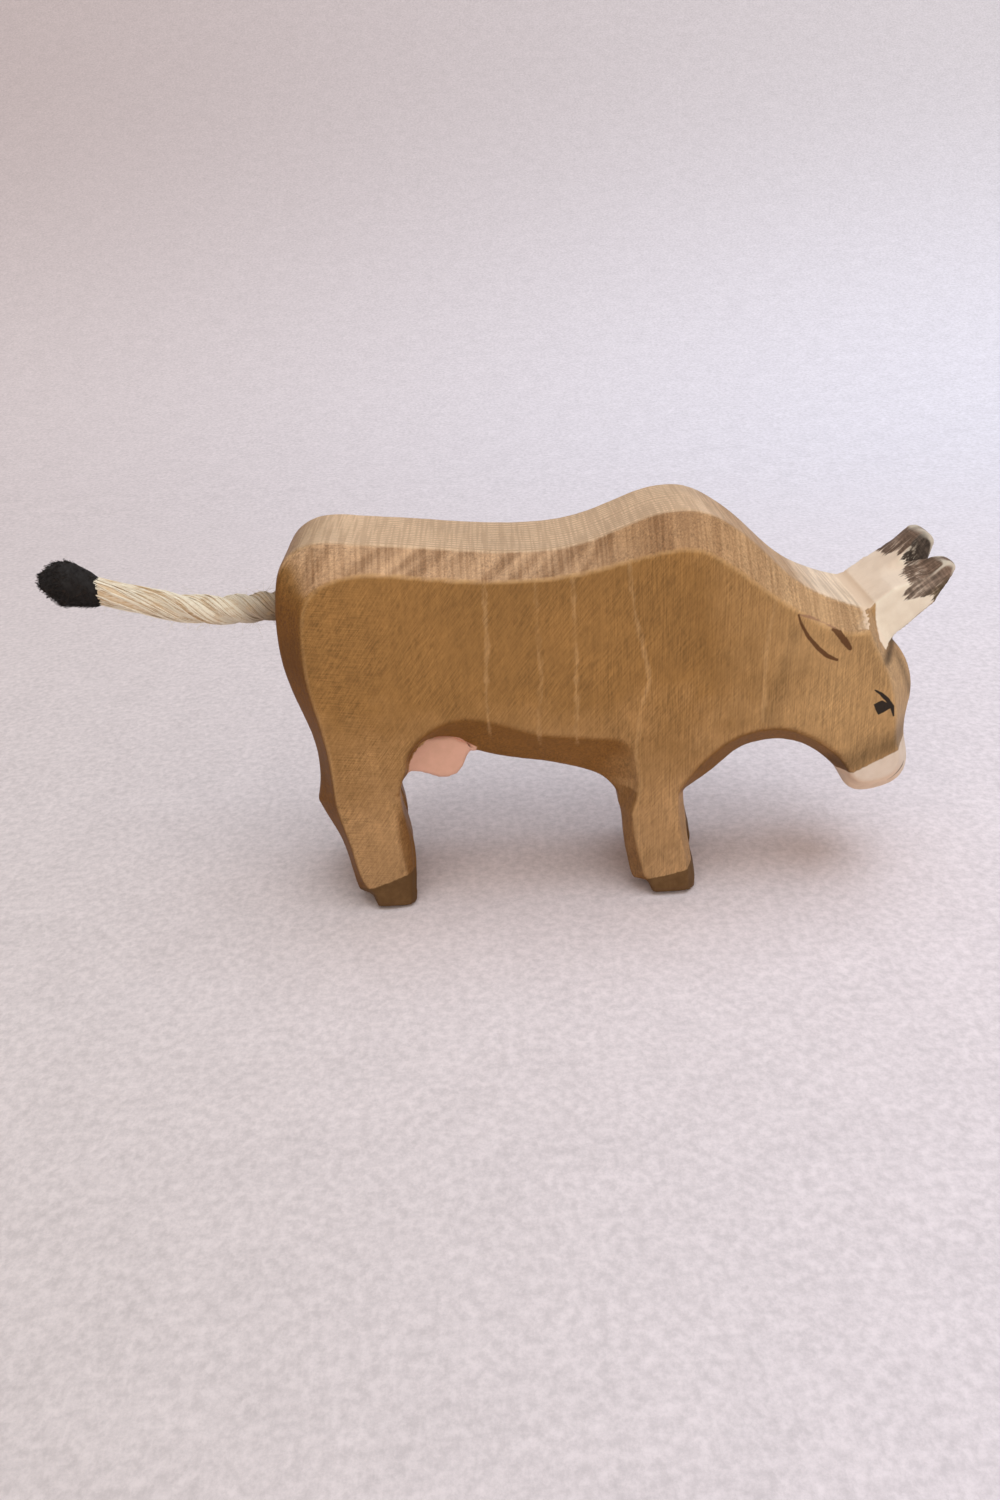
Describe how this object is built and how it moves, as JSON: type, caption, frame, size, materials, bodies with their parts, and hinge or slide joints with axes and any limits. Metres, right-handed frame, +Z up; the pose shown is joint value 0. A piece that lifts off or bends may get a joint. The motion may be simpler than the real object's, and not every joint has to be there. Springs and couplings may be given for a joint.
{
  "type": "cow figurine",
  "caption": "Cow figurine carved from one wooden plank, with a bevelled outline, horns, an udder and legs parted by saw slots, and a glued rope tail with a black frayed end.",
  "frame": {"origin": "on the surface that the hooves stand on, under the middle of the wooden body", "axes": "+X from the rump towards the horns, +Y to the cow's left, +Z up"},
  "size_m": [0.1819, 0.03, 0.084],
  "materials": {
    "maple": "stained and waxed, satin",
    "natural_rope": "natural fibre",
    "black_rope": "painted fibre"
  },
  "bodies": {
    "root": {"wooden_body": "maple", "tail_root": "natural_rope", "tail_rope": "natural_rope", "tail_tuft": "black_rope"}
  },
  "joints": []
}
